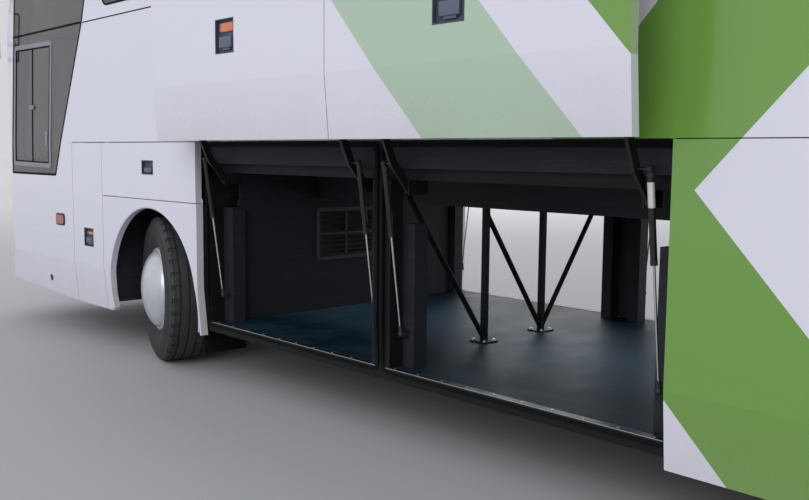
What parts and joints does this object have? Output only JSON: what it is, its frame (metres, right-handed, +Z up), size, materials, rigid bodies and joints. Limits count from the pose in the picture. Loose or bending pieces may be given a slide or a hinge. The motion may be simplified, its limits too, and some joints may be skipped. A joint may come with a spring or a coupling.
{
  "type": "touring coach with raised luggage doors",
  "caption": "High-deck touring coach with through luggage bays under the passenger floor and parallel-lift side doors standing raised.",
  "frame": {"origin": "on the ground under the middle of the vehicle, at mid length on the centre plane", "axes": "+X forward, +Y to the vehicle's left, +Z up"},
  "size_m": [12.2, 3.14, 3.82],
  "materials": {
    "body_paint": "white gloss coach paint",
    "body_green": "green gloss coach paint over white",
    "dark_glass": "tinted bonded glazing",
    "clear_glass": "laminated windscreen glass",
    "lamp_lens": "clear and coloured lamp lenses",
    "black_steel": "black chassis paint",
    "bay_lining": "charcoal bay lining",
    "floor_cover": "blue-grey rubber floor covering",
    "strut_steel": "bright piston rod",
    "tyre": "black tyre on a silver wheel",
    "trim_plastic": "black moulded plastic",
    "seat_fabric": "seat upholstery",
    "engine_iron": "engine block"
  },
  "bodies": {
    "coach": {"side_wall_left": "body_paint", "side_wall_right": "body_paint", "roof": "body_paint", "front_mask": "body_paint", "rear_mask": "body_green", "bumper_front": "body_paint", "skirt_front_left": "body_paint", "skirt_front_right": "body_paint", "skirt_rear_left": "body_green", "skirt_rear_right": "body_green", "side_windows": "dark_glass", "windscreen": "clear_glass", "lamps": "lamp_lens", "passenger_doors": "body_paint", "bay_floor": "floor_cover", "bay_frame": "black_steel", "bay_truss": "black_steel", "bulkheads": "bay_lining", "mechanism_covers": "bay_lining", "passenger_floor": "bay_lining", "cab_floor": "floor_cover", "underframe": "black_steel", "front_axle": "black_steel", "drive_axle": "black_steel", "seats": "seat_fabric", "dashboard": "trim_plastic", "engine": "engine_iron", "wheel_housings": "bay_lining", "mirrors": "trim_plastic", "roof_unit": "body_paint"},
    "bay_door_left_1": {"bay_door_left_1": "body_paint"},
    "bay_door_left_2": {"bay_door_left_2": "body_paint"},
    "bay_door_right_1": {"bay_door_right_1": "body_paint"},
    "bay_door_right_2": {"bay_door_right_2": "body_paint"},
    "door_arms_left_1": {"door_arms_left_1": "black_steel"},
    "door_arms_left_2": {"door_arms_left_2": "black_steel"},
    "door_arms_right_1": {"door_arms_right_1": "black_steel"},
    "door_arms_right_2": {"door_arms_right_2": "black_steel"},
    "engine_lid": {"engine_lid": "body_green"},
    "knuckle_left": {"knuckle_left": "black_steel"},
    "knuckle_right": {"knuckle_right": "black_steel"},
    "service_flap": {"service_flap": "body_paint"},
    "strut_rods_left_1": {"strut_rods_left_1": "strut_steel"},
    "strut_rods_left_2": {"strut_rods_left_2": "strut_steel"},
    "strut_rods_right_1": {"strut_rods_right_1": "strut_steel"},
    "strut_rods_right_2": {"strut_rods_right_2": "strut_steel"},
    "strut_tubes_left_1": {"strut_tubes_left_1": "black_steel"},
    "strut_tubes_left_2": {"strut_tubes_left_2": "black_steel"},
    "strut_tubes_right_1": {"strut_tubes_right_1": "black_steel"},
    "strut_tubes_right_2": {"strut_tubes_right_2": "black_steel"},
    "wheel_front_left": {"wheel_front_left": "tyre"},
    "wheel_front_right": {"wheel_front_right": "tyre"},
    "wheel_hatch": {"wheel_hatch": "body_paint"},
    "wheel_rear_left": {"wheel_rear_left": "tyre"},
    "wheel_rear_right": {"wheel_rear_right": "tyre"}
  },
  "joints": [
    {"name": "lift_left_1", "type": "hinge", "parent": "coach", "child": "door_arms_left_1", "pos_m": [1.625, 1.15, 1.32976], "axis": [1, 0, 0], "range_deg": [-149.83, 0]},
    {"name": "level_left_1", "type": "hinge", "parent": "door_arms_left_1", "child": "bay_door_left_1", "pos_m": [1.625, 1.47, 1.93], "axis": [1, 0, 0], "range_deg": [-0.5, 150.33]},
    {"name": "strut_swing_left_1", "type": "hinge", "parent": "door_arms_left_1", "child": "strut_tubes_left_1", "pos_m": [1.625, 1.26249, 1.46381], "axis": [1, 0, 0], "range_deg": [-0.5, 160.13]},
    {"name": "strut_stroke_left_1", "type": "slide", "parent": "strut_tubes_left_1", "child": "strut_rods_left_1", "axis": [0, -0.1365, -0.9906], "range_m": [-0.31505, 0.0005]},
    {"name": "lift_left_2", "type": "hinge", "parent": "coach", "child": "door_arms_left_2", "pos_m": [-0.105, 1.15, 1.32976], "axis": [1, 0, 0], "range_deg": [-149.83, 0]},
    {"name": "level_left_2", "type": "hinge", "parent": "door_arms_left_2", "child": "bay_door_left_2", "pos_m": [-0.105, 1.47, 1.93], "axis": [1, 0, 0], "range_deg": [-0.5, 150.33]},
    {"name": "strut_swing_left_2", "type": "hinge", "parent": "door_arms_left_2", "child": "strut_tubes_left_2", "pos_m": [-0.105, 1.26249, 1.46381], "axis": [1, 0, 0], "range_deg": [-0.5, 160.13]},
    {"name": "strut_stroke_left_2", "type": "slide", "parent": "strut_tubes_left_2", "child": "strut_rods_left_2", "axis": [0, -0.1365, -0.9906], "range_m": [-0.31505, 0.0005]},
    {"name": "steer_left", "type": "hinge", "parent": "coach", "child": "knuckle_left", "pos_m": [3.15, 0.87, 0.522], "axis": [0, 0, 1], "range_deg": [-25, 59]},
    {"name": "roll_front_left", "type": "hinge", "parent": "knuckle_left", "child": "wheel_front_left", "pos_m": [3.20555, 1.0517, 0.522], "axis": [0.2924, 0.9563, 0], "continuous": true},
    {"name": "roll_rear_left", "type": "hinge", "parent": "coach", "child": "wheel_rear_left", "pos_m": [-2.95, 1.085, 0.522], "axis": [0, 1, 0], "continuous": true},
    {"name": "lift_right_1", "type": "hinge", "parent": "coach", "child": "door_arms_right_1", "pos_m": [1.625, -1.15, 1.32976], "axis": [-1, 0, 0], "range_deg": [-149.83, 0]},
    {"name": "level_right_1", "type": "hinge", "parent": "door_arms_right_1", "child": "bay_door_right_1", "pos_m": [1.625, -1.47, 1.93], "axis": [-1, 0, 0], "range_deg": [-0.5, 150.33]},
    {"name": "strut_swing_right_1", "type": "hinge", "parent": "door_arms_right_1", "child": "strut_tubes_right_1", "pos_m": [1.625, -1.26249, 1.46381], "axis": [-1, 0, 0], "range_deg": [-0.5, 160.13]},
    {"name": "strut_stroke_right_1", "type": "slide", "parent": "strut_tubes_right_1", "child": "strut_rods_right_1", "axis": [0, 0.1365, -0.9906], "range_m": [-0.31505, 0.0005]},
    {"name": "lift_right_2", "type": "hinge", "parent": "coach", "child": "door_arms_right_2", "pos_m": [-0.105, -1.15, 1.32976], "axis": [-1, 0, 0], "range_deg": [-149.83, 0]},
    {"name": "level_right_2", "type": "hinge", "parent": "door_arms_right_2", "child": "bay_door_right_2", "pos_m": [-0.105, -1.47, 1.93], "axis": [-1, 0, 0], "range_deg": [-0.5, 150.33]},
    {"name": "strut_swing_right_2", "type": "hinge", "parent": "door_arms_right_2", "child": "strut_tubes_right_2", "pos_m": [-0.105, -1.26249, 1.46381], "axis": [-1, 0, 0], "range_deg": [-0.5, 160.13]},
    {"name": "strut_stroke_right_2", "type": "slide", "parent": "strut_tubes_right_2", "child": "strut_rods_right_2", "axis": [0, 0.1365, -0.9906], "range_m": [-0.31505, 0.0005]},
    {"name": "steer_right", "type": "hinge", "parent": "coach", "child": "knuckle_right", "pos_m": [3.15, -0.87, 0.522], "axis": [0, 0, 1], "range_deg": [-26, 60]},
    {"name": "roll_front_right", "type": "hinge", "parent": "knuckle_right", "child": "wheel_front_right", "pos_m": [3.09445, -1.0517, 0.522], "axis": [0.2924, 0.9563, 0], "continuous": true},
    {"name": "roll_rear_right", "type": "hinge", "parent": "coach", "child": "wheel_rear_right", "pos_m": [-2.95, -1.085, 0.522], "axis": [0, 1, 0], "continuous": true},
    {"name": "hatch_lift", "type": "hinge", "parent": "coach", "child": "wheel_hatch", "pos_m": [3.185, 1.275, 1.574], "axis": [1, 0, 0], "range_deg": [0, 85]},
    {"name": "flap_swing", "type": "hinge", "parent": "coach", "child": "service_flap", "pos_m": [4.408, 1.275, 0.94], "axis": [0, 0, -1], "range_deg": [0, 100]},
    {"name": "engine_lid_lift", "type": "hinge", "parent": "coach", "child": "engine_lid", "pos_m": [-6.1, 0, 1.714], "axis": [0, 1, 0], "range_deg": [0, 80]}
  ],
  "couplings": [
    {"joint": "level_left_1", "follows": "lift_left_1", "ratio": -1},
    {"joint": "strut_swing_left_1", "follows": "lift_left_1", "ratio": -1.0654},
    {"joint": "strut_stroke_left_1", "follows": "lift_left_1", "m_per_rad": 0.12029},
    {"joint": "level_left_2", "follows": "lift_left_2", "ratio": -1},
    {"joint": "strut_swing_left_2", "follows": "lift_left_2", "ratio": -1.0654},
    {"joint": "strut_stroke_left_2", "follows": "lift_left_2", "m_per_rad": 0.12029},
    {"joint": "level_right_1", "follows": "lift_right_1", "ratio": -1},
    {"joint": "strut_swing_right_1", "follows": "lift_right_1", "ratio": -1.0654},
    {"joint": "strut_stroke_right_1", "follows": "lift_right_1", "m_per_rad": 0.12029},
    {"joint": "level_right_2", "follows": "lift_right_2", "ratio": -1},
    {"joint": "strut_swing_right_2", "follows": "lift_right_2", "ratio": -1.0654},
    {"joint": "strut_stroke_right_2", "follows": "lift_right_2", "m_per_rad": 0.12029},
    {"joint": "steer_right", "follows": "steer_left", "ratio": 1}
  ]
}
